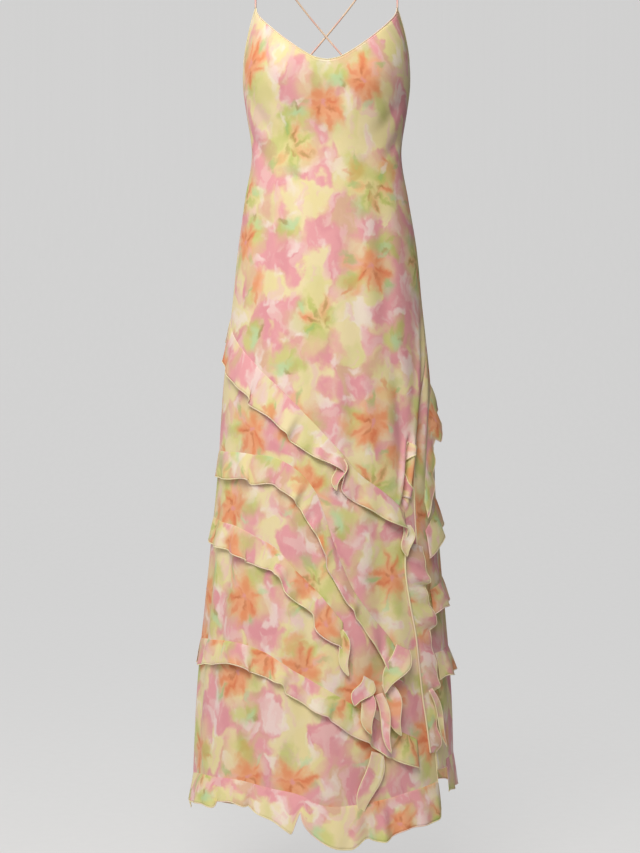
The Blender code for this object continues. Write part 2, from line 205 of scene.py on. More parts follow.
# Soft creases: where each starts and ends, how wide its trough is in degrees, and its depth,
# which is negative for a ridge
Crease = namedtuple("Crease", "angle_top drop_top angle_low drop_low width depth")
CREASES = [
    Crease(-20, 0.400, -28, 0.640, 5.0, 0.0016),
    Crease(-46, 0.420, -40, 0.700, 6.0, 0.0022),
    Crease(14, 0.420, 20, 0.760, 6.0, 0.0018),
    Crease(38, 0.410, 33, 0.820, 6.0, 0.0024),
    Crease(-8, 0.520, -14, 0.880, 5.0, -0.0016),
    Crease(58, 0.300, 40, 0.360, 7.0, 0.0020),
    Crease(-60, 0.300, -42, 0.365, 7.0, 0.0020),
    Crease(70, 0.350, 50, 0.395, 6.0, 0.0016),
    Crease(-72, 0.350, -52, 0.400, 6.0, 0.0016),
    Crease(5, 0.270, 0, 0.340, 9.0, 0.0022),
    Crease(40, 0.262, 70, 0.304, 3.0, 0.0014),
    Crease(-40, 0.262, -70, 0.304, 3.0, 0.0014),
    Crease(-30, 0.700, -22, 1.300, 4.5, 0.0035),
    Crease(-52, 0.760, -58, 1.380, 5.0, 0.0040),
    Crease(-72, 0.900, -76, 1.400, 5.0, 0.0035),
    Crease(-6, 0.980, -10, 1.400, 5.0, 0.0040),
    Crease(12, 0.700, 15, 0.900, 4.0, 0.0025),
    Crease(28, 0.960, 24, 1.390, 5.0, 0.0038),
    Crease(40, 0.700, 45, 0.930, 4.0, 0.0030),
    Crease(100, 0.420, 96, 1.300, 6.0, 0.0035),
    Crease(84, 0.900, 80, 1.380, 5.0, 0.0040),
    Crease(130, 0.500, 138, 1.350, 6.0, 0.0040),
    Crease(163, 0.560, 158, 1.380, 6.0, 0.0042),
    Crease(196, 0.520, 203, 1.380, 6.0, 0.0042),
    Crease(232, 0.540, 226, 1.370, 6.0, 0.0040),
    Crease(252, 0.700, 256, 1.390, 5.0, 0.0035),
    Crease(150, 0.300, 160, 0.400, 9.0, 0.0018),
    Crease(210, 0.300, 200, 0.400, 9.0, 0.0018),
    Crease(49.2, 0.838, 42.4, 0.952, 1.3, 0.0140),
    Crease(76, 0.640, 51, 0.935, 3.0, 0.0065),
]

# How far apart the points are from which the surface's direction is taken
NEAR_ANGLE = 1.0
NEAR_DROP = 0.008

# The low banks beside a trough, as shares of its width and depth
BANK_PLACE = 2.1
BANK_WIDTH = 1.1
BANK_HEIGHT = 0.5

# The waves of a flounce's free edge. Each starts in a valley, where the flounce lies on the panel,
# and runs on to a tip, where it stands out and is turned ahead. Low and tip are its widths there,
# as shares of the flounce's own, and the last row is the flounce's end
Wave = namedtuple("Wave", "start height low tip ahead")


def even_waves(count, height, until=1.0, tip=0.84, ahead=0.010):
    """Waves of one height, spaced a little unevenly."""
    drift = 0.25 / count
    starts = [k / count + drift * math.sin(2.4 * k) for k in range(count)] + [1.0]
    return [Wave(start, height, 1.0, tip, ahead) for start in starts if start <= until]


WAVES_FRONT_1 = [
    Wave(0.00, 0.007, 1.25, 1.00, 0.020),
    Wave(0.33, 0.007, 1.20, 0.90, 0.004),
    Wave(0.53, 0.010, 1.10, 0.40, 0.004),
    Wave(0.77, 0.010, 0.90, 0.55, 0.020),
    Wave(1.00, 0.000, 1.25, 0.50, 0.000),
]
WAVES_FRONT_2 = [
    Wave(0.00, 0.007, 1.00, 0.95, 0.016),
    Wave(0.23, 0.007, 1.10, 0.85, 0.002),
    Wave(0.43, 0.007, 0.95, 0.45, 0.000),
    Wave(0.65, 0.007, 0.60, 0.45, 0.000),
    Wave(0.80, 0.009, 0.60, 0.85, 0.004),
    Wave(1.00, 0.000, 0.75, 0.50, 0.000),
]
WAVES_FRONT_3 = [
    Wave(0.00, 0.007, 0.95, 0.95, 0.018),
    Wave(0.43, 0.007, 1.05, 0.60, 0.000),
    Wave(0.68, 0.006, 0.85, 0.70, 0.000),
    Wave(0.89, 0.008, 0.95, 0.90, 0.004),
    Wave(1.00, 0.000, 1.20, 0.50, 0.000),
]
WAVES_FRONT_4 = [
    Wave(0.00, 0.008, 1.00, 0.75, 0.018),
    Wave(0.38, 0.005, 0.85, 0.55, 0.003),
    Wave(0.52, 0.006, 0.85, 0.80, 0.004),
    Wave(0.69, 0.006, 0.90, 0.90, 0.000),
    Wave(0.85, 0.005, 0.95, 1.00, 0.000),
    Wave(0.92, 0.008, 0.95, 1.00, 0.008),
    Wave(1.00, 0.000, 1.10, 0.50, 0.000),
]
WAVES_HEM_FRONT = [
    Wave(0.00, 0.012, 0.70, 0.70, 0.018),
    Wave(0.27, 0.010, 0.55, 0.55, 0.004),
    Wave(0.38, 0.012, 0.50, 0.90, 0.004),
    Wave(0.55, 0.014, 0.25, 1.00, -0.015),
    Wave(0.73, 0.010, 0.80, 0.95, -0.006),
    Wave(0.80, 0.010, 0.90, 0.85, -0.006),
    Wave(1.00, 0.000, 0.70, 0.50, 0.000),
]
WAVES_BACK_1_END = [
    Wave(0.65, 0.017, 1.00, 0.95, 0.003),
    Wave(0.72, 0.017, 0.95, 0.90, 0.003),
    Wave(0.82, 0.004, 0.55, 0.50, 0.002),
    Wave(0.90, 0.004, 0.50, 0.50, 0.002),
    Wave(1.00, 0.000, 0.60, 0.60, 0.000),
]

WAVES_SLIT_UPPER = [
    Wave(0.00, 0.001, 1.00, 1.00, 0.000),
    Wave(1.00, 0.000, 0.80, 0.80, 0.000),
]
WAVES_SLIT_LOWER = [
    Wave(0.00, 0.008, 0.90, 1.00, 0.008),
    Wave(0.20, 0.009, 0.90, 1.00, 0.008),
    Wave(0.42, 0.008, 0.70, 0.80, 0.008),
    Wave(0.70, 0.006, 0.60, 0.50, 0.006),
    Wave(1.00, 0.000, 0.30, 0.30, 0.000),
]

# A flounce's sewn line as angles and drops, its width, how far it stands out, how far it sags
# from square to the line towards straight down, its waves, the side that it falls to from a slit
# edge, the power by which its waves rise and the columns over which they are softened
Flounce = namedtuple("Flounce", "name line width stand_out sag waves side rise soften")
FLOUNCES = [
    Flounce("flounce_front_1",
            [(-89, 0.640), (-60, 0.690), (-30, 0.752), (-10, 0.806), (5, 0.855), (18, 0.899),
             (32, 0.930), (43, 0.958)],
            0.046, 0.003, 0.40, WAVES_FRONT_1, 0, 1.4, 3),
    Flounce("flounce_front_2",
            [(-89, 0.862), (-70, 0.863), (-45, 0.866), (-27, 0.872), (-14, 0.893), (-6, 0.920),
             (-1, 0.955), (3, 0.996), (8, 1.040), (14, 1.083), (23, 1.122), (31, 1.155), (36, 1.190)],
            0.044, 0.003, 0.45, WAVES_FRONT_2, 0, 1.4, 3),
    Flounce("flounce_front_3",
            [(-89, 0.970), (-60, 0.978), (-44, 0.987), (-25, 1.014), (-12, 1.053), (0, 1.093), (8, 1.126)],
            0.043, 0.003, 0.45, WAVES_FRONT_3, 0, 1.4, 3),
    Flounce("flounce_front_4",
            [(-89, 1.172), (-60, 1.165), (-43, 1.164), (-30, 1.173), (-19, 1.191), (-10, 1.208),
             (0, 1.227), (9, 1.246), (17, 1.264), (26, 1.284), (35, 1.300), (43, 1.314)],
            0.045, 0.003, 0.35, WAVES_FRONT_4, 0, 1.4, 3),
    Flounce("hem_flounce_front",
            [(-89, 1.396), (-60, 1.380), (-40, 1.376), (-22, 1.384), (-11, 1.389), (0, 1.405),
             (12, 1.406), (25, 1.402), (44, 1.391), (56, 1.386)],
            0.064, 0.007, 0.50, WAVES_HEM_FRONT, 0, 0.6, 3),
    Flounce("flounce_back_1",
            [(269, 0.640), (225, 0.655), (180, 0.680), (135, 0.711), (104, 0.735), (88, 0.753),
             (78, 0.785), (71, 0.820), (67, 0.860), (64, 0.900), (61, 0.945)],
            0.045, 0.004, 0.40, even_waves(9, 0.015, 0.58) + WAVES_BACK_1_END, 0, 0.9, 13),
    Flounce("flounce_back_2",
            [(269, 0.862), (225, 0.870), (180, 0.890), (135, 0.912), (100, 0.930), (78, 0.955),
             (60, 0.990)],
            0.045, 0.004, 0.40, even_waves(8, 0.011), 0, 0.9, 13),
    Flounce("flounce_back_3",
            [(269, 0.970), (225, 0.988), (180, 1.016), (135, 1.046), (100, 1.066), (78, 1.076),
             (60, 1.085)],
            0.042, 0.004, 0.40, even_waves(8, 0.011), 0, 0.9, 13),
    Flounce("flounce_back_4",
            [(269, 1.172), (225, 1.176), (180, 1.180), (135, 1.185), (100, 1.186), (60, 1.186)],
            0.045, 0.004, 0.40, even_waves(8, 0.013), 0, 0.9, 13),
    Flounce("hem_flounce_back",
            [(269, 1.400), (225, 1.400), (180, 1.394), (135, 1.380), (100, 1.366), (68, 1.358)],
            0.056, 0.002, 0.50, even_waves(9, 0.003, tip=0.97, ahead=0.002), 0, 0.6, 13),
    Flounce("slit_flounce_upper",
            [(49.0, 0.848), (46.4, 0.872), (45.0, 0.900), (43.4, 0.936)],
            0.014, 0.002, 0.20, WAVES_SLIT_UPPER, 1, 1.2, 5),
    Flounce("slit_flounce_lower",
            [(42.0, 1.005), (40.5, 1.050), (42.0, 1.100), (44.5, 1.150), (45.5, 1.200),
             (46.5, 1.250), (48.5, 1.300), (50.0, 1.340)],
            0.046, 0.003, 0.15, WAVES_SLIT_LOWER, 1, 1.2, 5),
]

# How a flounce narrows at its ends, how its waves lean and swell, and its free edge's unevenness
END_TAPER = 0.030
END_FULLNESS = 0.60
WAVE_LEAN = 0.86
SWELL = 0.16
RIPPLE_LENGTH = 0.037
RIPPLE_HEIGHT = 0.0018
EDGE_WANDER = 0.0012
WANDER_LENGTH = 0.071
LEAST_LIFT = 0.0012

# How far the print runs on along a curved strip, and how far it moves from one piece to the next
STRIP_SPREAD = 1.12
FLOUNCE_PRINT_STEP = (0.37, 0.23)
LEAF_PRINT_STEP = (0.29, 0.17)

# The small turned-over ends of the flounces beside the slit: where each comes out and where its
# point hangs, its width, how far it stands off at its root and point, and how far one edge curls up
Leaf = namedtuple("Leaf", "name angle drop tip_angle tip_drop width root_lift tip_lift curl")
LEAVES = [
    Leaf("cascade_leaf_1", 19, 1.215, 12, 1.255, 0.024, 0.002, 0.010, 0.006),
    Leaf("cascade_leaf_2", 28, 1.225, 33, 1.305, 0.021, 0.002, 0.014, 0.008),
    Leaf("cascade_leaf_3", 23, 1.240, 28, 1.330, 0.018, 0.006, 0.021, 0.008),
    Leaf("cascade_leaf_4", 16, 1.230, 18, 1.300, 0.018, 0.003, 0.017, 0.007),
    Leaf("cascade_leaf_5", 23, 1.330, 15, 1.425, 0.030, 0.003, 0.002, 0.003),
    Leaf("cascade_leaf_6", 50, 1.240, 59, 1.335, 0.009, 0.008, 0.013, 0.004),
    Leaf("flounce_end_1", 43, 0.980, 41, 1.030, 0.020, 0.002, 0.007, 0.006),
    Leaf("flounce_end_2", 36, 1.170, 26, 1.240, 0.030, 0.006, 0.014, 0.008),
    Leaf("flounce_end_3", 6, 1.140, 10, 1.210, 0.016, 0.003, 0.008, 0.005),
    Leaf("turned_fold_1", 7, 0.875, 5, 0.925, 0.015, 0.003, 0.010, 0.005),
]
LEAF_ROWS = 18
LEAF_COLUMNS = 10
LEAF_BEND = 0.004


# Form of the dress

def smooth(knots, values, at):
    """Values at places on the smooth curve through a table's points."""
    knots = np.asarray(knots, float)
    values = np.asarray(values, float)
    at = np.asarray(at, float)
    slopes = np.gradient(values, knots)
    k = np.clip(np.searchsorted(knots, at) - 1, 0, len(knots) - 2)
    span = knots[k + 1] - knots[k]
    t = np.clip((at - knots[k]) / span, 0, 1)
    rise = values[k + 1] - values[k]
    inner = (1 - t) * (slopes[k] * span - rise) - t * (slopes[k + 1] * span - rise)
    return values[k] + t * rise + t * (1 - t) * inner


def section_at(drop):
    """The section of the body of the dress at each drop."""
    drops, *columns = zip(*SECTIONS)
    return Section(drop, *[smooth(drops, column, drop) for column in columns])


def left_seam(drop):
    """The angle of the wearer's left seam at each drop."""
    return smooth(*zip(*LEFT_SEAM), drop)


def squared(value, squareness):
    """A sine or cosine, pushed outwards as the section is more square."""
    return np.sign(value) * np.abs(value) ** (2 / squareness)


def crease_relief(angle, drop):
    """How far the soft creases push the cloth out, or in where negative."""
    relief = np.zeros(np.broadcast(angle, drop).shape)
    for c in CREASES:
        down = (drop - c.drop_top) / (c.drop_low - c.drop_top)
        centre = c.angle_top + (c.angle_low - c.angle_top) * down
        away = (angle - centre + 180) % 360 - 180
        fade = np.clip(np.sin(math.pi * np.clip(down, 0, 1)), 0, 1) ** 0.8
        trough = np.exp(-(away / c.width) ** 2)
        banks = np.exp(-((np.abs(away) - BANK_PLACE * c.width) / (BANK_WIDTH * c.width)) ** 2)
        relief += c.depth * fade * (BANK_HEIGHT * banks - trough)
    return relief


def skin(angle, drop):
    """Points on the outer surface of the dress's body, at angles round it and drops."""
    angle, drop = np.broadcast_arrays(np.asarray(angle, float), np.asarray(drop, float))
    turn = np.radians(angle)
    s = section_at(drop)
    half_depth = (s.front + s.back) / 2
    x = s.middle + s.half_width * squared(np.sin(turn), s.squareness)
    y = (s.back - s.front) / 2 - half_depth * squared(np.cos(turn), s.squareness)
    out_x, out_y = np.sin(turn) / s.half_width, -np.cos(turn) / half_depth
    length = np.hypot(out_x, out_y)
    bulge = crease_relief(angle, drop)
    for side in (-1, 1):
        cup = np.exp(-((x - side * CUP_SIDE) / CUP_WIDTH) ** 2 - ((drop - CUP_DROP) / CUP_HEIGHT) ** 2)
        bulge = bulge + CUP_DEPTH * cup * (np.cos(turn) > 0)
    grown = np.clip((drop - FLUTES_FROM) / (HEM_DROP - FLUTES_FROM), 0, 1)
    bulge = bulge + FLUTE_DEPTH * grown * np.cos(FLUTES * turn)
    return np.stack([x + out_x / length * bulge, y + out_y / length * bulge, -drop], -1)


def outward_normal(angle, drop):
    """The directions that face away from the wearer."""
    round_it = skin(angle + NEAR_ANGLE, drop) - skin(angle - NEAR_ANGLE, drop)
    down_it = skin(angle, drop + NEAR_DROP) - skin(angle, drop - NEAR_DROP)
    normal = np.cross(down_it, round_it)
    return normal / np.linalg.norm(normal, axis=-1, keepdims=True)


def seam_turn(drop):
    """Half the opening of the left seam as an angle."""
    down_slit = np.clip((drop - SLIT_TOP) / (HEM_DROP - SLIT_TOP), 0, 1)
    opening = SEAM_GAP + (SLIT_OPENING_AT_HEM - SEAM_GAP) * down_slit
    return np.degrees(opening / 2 / section_at(drop).half_width)


def front_angle(share, drop):
    """Shares run from -1 at the right seam, over 0 at the middle, to 1 at the left seam."""
    right = -share * (RIGHT_SEAM + math.degrees(SEAM_GAP / RIGHT_SEAM_REACH))
    return np.where(share < 0, right, share * (left_seam(drop) - seam_turn(drop)))


def back_angle(share, drop):
    """Shares run from 0 at the left seam, round the back, to 1 at the right seam."""
    start = left_seam(drop) + seam_turn(drop)
    return start + share * (360 + RIGHT_SEAM - start)


def front_top(share):
    """The drop of the front's neckline or armhole."""
    return smooth(*zip(*FRONT_TOP), np.abs(share))


def back_top(share):
    """The drop of the back's top edge."""
    return UNDERARM_DROP + BACK_NECK_DIP * np.sin(math.pi * share)


def back_hem(share):
    """The back hem rises towards the slit."""
    return HEM_DROP - BACK_HEM_RISE_AT_SLIT * (1 - share) ** 1.5


def front_hem(share):
    """The front hem is level."""
    return np.full(np.shape(share), HEM_DROP)


def row_drop(level, top, hem):
    """A row starts at the top edge's own drop, runs level down the body and ends at the hem."""
    near_top = np.clip(1 - (level - UNDERARM_DROP) / (LEVEL_ROWS_FROM - UNDERARM_DROP), 0, 1) ** 2
    near_hem = np.clip(1 - (HEM_DROP - level) / HEM_FADE, 0, 1) ** 2
    return level + (top - UNDERARM_DROP) * near_top + (hem - HEM_DROP) * near_hem


def length_along(path):
    """The length along a path at each of its points."""
    return np.concatenate([[0], np.cumsum(np.linalg.norm(np.diff(path, axis=0), axis=1))])


# Meshes

def placed(name, data):
    """An object in the scene."""
    made = bpy.data.objects.new(name, data)
    bpy.context.scene.collection.objects.link(made)
    return made


def mesh_object(name, points, faces):
    """A smooth-shaded object from points and faces."""
    mesh = bpy.data.meshes.new(name)
    mesh.from_pydata(points, [], faces)
    mesh.shade_smooth()
    return placed(name, mesh)


def finished(piece, material):
    """Gives a piece its material and slot, and the body that it moves with."""
    piece.data.materials.append(material)
    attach(piece, "root")


def grid_mesh(name, points, cut):
    """A sheet through rows and columns of points, with places on its flat cut, in metres, as UVs."""
    rows, columns = points.shape[:2]
    corner = (np.arange(rows - 1)[:, None] * columns + np.arange(columns - 1)[None, :]).ravel()
    faces = np.stack([corner, corner + columns, corner + columns + 1, corner + 1], 1)
    made = mesh_object(name, points.reshape(-1, 3).tolist(), faces.tolist())
    layer = made.data.uv_layers.new(name="cut")
    loops = np.zeros(len(made.data.loops), np.int32)
    made.data.loops.foreach_get("vertex_index", loops)
    layer.data.foreach_set("uv", cut.reshape(-1, 2)[loops].astype(np.float32).ravel())
    return made


def facing_out(points, cut):
    """Turns the columns round if the sheet would face the wearer."""
    r, c = points.shape[0] // 2, points.shape[1] // 2
    normal = np.cross(points[r + 1, c] - points[r, c], points[r, c + 1] - points[r, c])
    outwards = normal @ np.array([points[r, c, 0], points[r, c, 1], 0.0]) > 0
    return (points, cut) if outwards else (points[:, ::-1], cut[:, ::-1])


def thicken(piece, towards):
    """Gives a sheet its cloth thickness, inwards for -1 and outwards for 1."""
    wall = piece.modifiers.new("cloth thickness", "SOLIDIFY")
    wall.thickness = CHIFFON
    wall.offset = towards


def tube(name, path, radius, sides):
    """A round tube along a path, with closed ends, and UVs along and round it."""
    ahead = np.gradient(path, axis=0)
    ahead /= np.linalg.norm(ahead, axis=1, keepdims=True)
    up = np.array([0.0, 0.0, 1.0]) if abs(ahead[0, 2]) < 0.9 else np.array([0.0, 1.0, 0.0])
    side = np.cross(ahead[0], up)
    frames = []
    for direction in ahead:
        side = side - direction * (side @ direction)
        side = side / np.linalg.norm(side)
        frames.append((side, np.cross(direction, side)))
    turns = np.linspace(0, 2 * math.pi, sides, endpoint=False)
    rings = np.array([[p + radius * (a * math.cos(t) + b * math.sin(t)) for t in turns]
                      for p, (a, b) in zip(path, frames)])
    last = (len(path) - 1) * sides
    faces = []
    for low in range(0, last, sides):
        high = low + sides
        for j in range(sides):
            k = (j + 1) % sides
            faces.append((low + j, low + k, high + k, high + j))
    faces.append(tuple(range(sides))[::-1])
    faces.append(tuple(range(last, last + sides)))
    made = mesh_object(name, rings.reshape(-1, 3).tolist(), faces)
    along = length_along(path)
    layer = made.data.uv_layers.new(name="cut")
    for loop in made.data.loops:
        i, j = divmod(loop.vertex_index, sides)
        layer.data[loop.index].uv = (along[i], 2 * radius * math.sin(turns[j]))
    return made


def panel_piece(name, node, angle_of, shares, top_of, hem_of, material):
    """A cut panel in chiffon. Its print runs in the cut's own coordinates."""
    share = shares[None, :]
    levels = np.linspace(UNDERARM_DROP, HEM_DROP, PANEL_ROWS)[:, None]
    drops = row_drop(levels, top_of(share), hem_of(share))
    angles = angle_of(share, drops)
    points = skin(angles, drops)
    steps = np.linalg.norm(np.diff(points, axis=1), axis=2)
    across = np.concatenate([np.zeros((PANEL_ROWS, 1)), np.cumsum(steps, axis=1)], axis=1)
    middle = PANEL_COLUMNS // 2
    across = across - across[:, middle:middle + 1]
    cut = np.stack([across, -drops], -1)
    points, cut = facing_out(points, cut)
    piece = grid_mesh(name, points, cut)
    thicken(piece, -1)
    finished(piece, material)
    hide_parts(node)
    return piece, points


def waves_at(places, waves, rise, soften):
    """Each place's lift, share of the width, and run ahead."""
    starts, heights, lows, tips, runs = np.array(waves).T
    k = np.clip(np.searchsorted(starts, places, side="right") - 1, 0, len(waves) - 2)
    within = np.clip((places - starts[k]) / (starts[k + 1] - starts[k]), 0, 1)
    up = np.clip(within / WAVE_LEAN, 0, 1) ** rise
    back = 0.5 + 0.5 * np.cos(math.pi * np.clip((within - WAVE_LEAN) / (1 - WAVE_LEAN), 0, 1))
    tip = np.pad(np.minimum(up, back), soften // 2, mode="edge")
    tip = np.convolve(tip, np.ones(soften) / soften, mode="valid")
    low = np.interp(places, starts, lows)
    return heights[k] * tip, low * (1 - tip) + tips[k] * tip, runs[k] * tip


def seam_frame(flounce):
    """Places along the sewn line, with the directions in which the flounce runs and hangs."""
    angles, drops = np.array(flounce.line, float).T
    along = length_along(skin(angles, drops))
    length = along[-1]
    here = np.linspace(0, length, int(length / FLOUNCE_COLUMN_STEP))
    angle, drop = smooth(along, angles, here), smooth(along, drops, here)
    radius = np.linalg.norm(skin(angle + 0.5, drop) - skin(angle - 0.5, drop), axis=1)
    run, fall = np.gradient(angle, here) * radius, np.gradient(drop, here)
    speed = np.hypot(run, fall)
    forwards = np.stack([run, fall], 1) / speed[:, None]
    if forwards[len(here) // 2, 1] < 0 and flounce.side == 0:
        forwards = -forwards
    across = np.stack([-fall, run], 1) / speed[:, None]
    wrong = across[:, 1] < 0 if flounce.side == 0 else across[:, 0] * flounce.side < 0
    across = np.where(wrong[:, None], -across, across)
    from_end = np.minimum(np.minimum(here, length - here) / END_TAPER, 1)
    sag = flounce.sag if flounce.side else 1 - (1 - flounce.sag) * from_end
    sag = np.broadcast_to(sag, here.shape)
    hang = across * (1 - sag)[:, None] + np.stack([np.zeros_like(sag), sag], 1)
    hang /= np.linalg.norm(hang, axis=1, keepdims=True)
    return here, angle, drop, radius, forwards, hang, from_end


def flounce_points(flounce, index):
    """Rows of points from the sewn line to the free edge, and their coordinates on the cut."""
    here, angle, drop, radius, forwards, hang, from_end = seam_frame(flounce)
    fullness = END_FULLNESS + (1 - END_FULLNESS) * from_end
    lifted, wide, ahead = waves_at(here / here[-1], flounce.waves, flounce.rise, flounce.soften)
    reach = (flounce.stand_out + lifted) * fullness
    ripple = np.sin(2 * math.pi * here / RIPPLE_LENGTH + 1.7 * index + 1.3 * np.sin(19 * here + index))
    ripple *= RIPPLE_HEIGHT * fullness
    wander = EDGE_WANDER * np.sin(2 * math.pi * here / WANDER_LENGTH + 2.1 * index)
    width = flounce.width * wide + wander
    points, cut = [], []
    for row in range(FLOUNCE_ROWS + 1):
        share = row / FLOUNCE_ROWS
        shift = hang * (width * share)[:, None] + forwards * (ahead * share ** 1.5)[:, None]
        angle_here, drop_here = angle + shift[:, 0] / radius, drop + shift[:, 1]
        swell = math.sin(math.pi * share) * SWELL * reach
        lift = FLOUNCE_LIFT + reach * share ** 1.3 + swell + ripple * share ** 1.6
        lift = np.maximum(lift, FLOUNCE_LIFT + LEAST_LIFT * share) - SEAM_TUCK * (1 - share) ** 8
        normal = outward_normal(angle_here, drop_here)
        points.append(skin(angle_here, drop_here) + normal * lift[:, None])
        fallen = np.full_like(here, -share * flounce.width)
        cut.append(np.stack([here * STRIP_SPREAD, fallen], 1) + index * np.array(FLOUNCE_PRINT_STEP))
    return np.array(points), np.array(cut)


def leaf_points(leaf, index):
    """Rows of points from a leaf's root to its point, and their coordinates on the cut."""
    down = np.linspace(0, 1, LEAF_ROWS)[:, None]
    side = np.linspace(-1, 1, LEAF_COLUMNS)[None, :]
    radius = float(section_at(leaf.drop).half_width) * math.pi / 180
    spine = np.array([(leaf.tip_angle - leaf.angle) * radius, leaf.tip_drop - leaf.drop])
    length = float(np.linalg.norm(spine))
    across = np.array([spine[1], -spine[0]]) / length
    outline = np.sin(math.pi * (0.22 + 0.78 * down)) ** 0.75
    aside = side * outline * leaf.width / 2 + LEAF_BEND * np.sin(2 * math.pi * down)
    angles = leaf.angle + (spine[0] * down + across[0] * aside) / radius
    drops = leaf.drop + spine[1] * down + across[1] * aside
    lift = leaf.root_lift + (leaf.tip_lift - leaf.root_lift) * down ** 0.8
    lift = lift + leaf.curl * outline * ((side + 1) / 2) ** 2 * np.sin(math.pi * (0.15 + 0.7 * down))
    points = skin(angles, drops) + outward_normal(angles, drops) * lift[..., None]
    fallen = np.broadcast_to(-down * length, aside.shape)
    cut = np.stack([aside, fallen], -1) + index * np.array(LEAF_PRINT_STEP)
    return points, cut


def between_rows(place, along, rows):
    """The point or direction at a place between two rows."""
    return np.array([np.interp(place, along, column) for column in rows.T])


def stitches(name, path, normals, material):
    """A row of small thread stitches along a path, lying on the cloth."""
    along = length_along(path)
    points, faces = [], []
    at = STITCH_STEP / 2
    while at + STITCH_LENGTH < along[-1]:
        ends = [between_rows(place, along, path) for place in (at, at + STITCH_LENGTH)]
        out = between_rows(at, along, normals)
        ahead = (ends[1] - ends[0]) / np.linalg.norm(ends[1] - ends[0])
        side = np.cross(out, ahead)
        base = len(points)
        for share, swell in ((0.0, 0.35), (0.5, 1.0), (1.0, 0.35)):
            centre = ends[0] + (ends[1] - ends[0]) * share
            half = STITCH_WIDTH / 2 * swell
            points += [centre + side * half, centre + out * half, centre - side * half]
        for low in (base, base + 3):
            for j in range(3):
                k = (j + 1) % 3
                faces.append((low + j, low + k, low + 3 + k, low + 3 + j))
        faces.append((base, base + 2, base + 1))
        faces.append((base + 6, base + 7, base + 8))
        at += STITCH_STEP
    made = mesh_object(name, [tuple(p) for p in points], faces)
    made.data.materials.append(material)
    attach(made, "root")
    return made


# Materials

def linear(code):
    """A hex colour as linear RGBA."""
    parts = [int(code[i:i + 2], 16) / 255 for i in (0, 2, 4)]
    return tuple(p / 12.92 if p <= 0.04045 else ((p + 0.055) / 1.055) ** 2.4 for p in parts) + (1.0,)


class Nodes:
    """Short ways to add shader nodes to a material or the world."""

    def __init__(self, data, shader="Principled BSDF"):
        self.data = data
        data.use_nodes = True
        self.tree = data.node_tree
        self.shader = self.tree.nodes[shader]

    def cut(self):
        """Places on the flat cut, in metres."""
        return self.add("ShaderNodeUVMap", uv_map="cut").outputs["UV"]

    def add(self, kind, **settings):
        node = self.tree.nodes.new(kind)
        for key, value in settings.items():
            setattr(node, key, value)
        return node

    def put(self, node, socket, value):
        """Links a socket, or sets it to a plain value."""
        target = node.inputs[socket]
        if isinstance(value, bpy.types.NodeSocket):
            self.tree.links.new(value, target)
        else:
            target.default_value = value

    def math(self, operation, a, b):
        node = self.add("ShaderNodeMath", operation=operation)
        self.put(node, 0, a)
        self.put(node, 1, b)
        return node.outputs[0]

    def vector(self, operation, a, b=(0, 0, 0)):
        node = self.add("ShaderNodeVectorMath", operation=operation)
        self.put(node, 0, a)
        self.put(node, 1, b)
        return node.outputs["Value"] if operation == "LENGTH" else node.outputs[0]

    def noise(self, at, scale, detail=2.0, distortion=0.0, colour=False):
        node = self.add("ShaderNodeTexNoise", noise_dimensions="2D")
        self.put(node, "Vector", at)
        self.put(node, "Scale", scale)
        self.put(node, "Detail", detail)
        self.put(node, "Distortion", distortion)
        return node.outputs["Color" if colour else "Fac"]

    def between(self, value, low, high, to_low=0.0, to_high=1.0):
        """A soft step of a value from low to high."""
        node = self.add("ShaderNodeMapRange", interpolation_type="SMOOTHSTEP")
        self.put(node, "Value", value)
        self.put(node, "From Min", low)
        self.put(node, "From Max", high)
        self.put(node, "To Min", to_low)
        self.put(node, "To Max", to_high)
        return node.outputs["Result"]

    def mix(self, share, a, b):
        node = self.add("ShaderNodeMix", data_type="RGBA")
        self.put(node, 0, share)
        self.put(node, 6, a)
        self.put(node, 7, b)
        return node.outputs[2]

    def stretched(self, at, scale, move=(0, 0, 0)):
        node = self.add("ShaderNodeMapping")
        self.put(node, "Vector", at)
        self.put(node, "Location", move)
        self.put(node, "Scale", scale)
        return node.outputs["Vector"]

    def wander(self, at, *noises):
        """Places moved about by noises, each with its scale, its detail and how far it moves them."""
        moved = at
        for scale, detail, reach in noises:
            away = self.vector("SUBTRACT", self.noise(at, scale, detail, colour=True), (0.5, 0.5, 0.5))
            moved = self.vector("ADD", moved, self.vector("MULTIPLY", away, (reach, reach, reach)))
        return moved

    def bands(self, at, direction, scale):
        """Fine parallel bands, as threads lie."""
        node = self.add("ShaderNodeTexWave", wave_type="BANDS", bands_direction=direction)
        self.put(node, "Vector", at)
        self.put(node, "Scale", scale)
        return node

    def raised(self, height, strength, distance):
        """Raises the surface's fine relief."""
        node = self.add("ShaderNodeBump")
        self.put(node, "Strength", strength)
        self.put(node, "Distance", distance)
        self.put(node, "Height", height)
        self.put(self.shader, "Normal", node.outputs["Normal"])

    def surface(self, values):
        """Sets the shader's sockets."""
        for socket, value in values.items():
            self.put(self.shader, socket, value)


# Colours of the print
PINK = linear("EFA8AD")
DUSTY_PINK = linear("E599A2")
BLUSH = linear("F4CBC6")
CREAM = linear("F3E2B2")
BUTTER = linear("F0E0A2")
PALE = linear("FBECE4")
LIME = linear("D8D689")
GRASS = linear("BFC86A")
LEAF = linear("A6C67F")
MINT = linear("BFE0AC")
PEACH = linear("F5AE84")
ORANGE = linear("EE9263")
CORAL = linear("E67F58")
RUST = linear("B4643A")
OLIVE = linear("96883F")
ROSE = linear("EBA0A8")

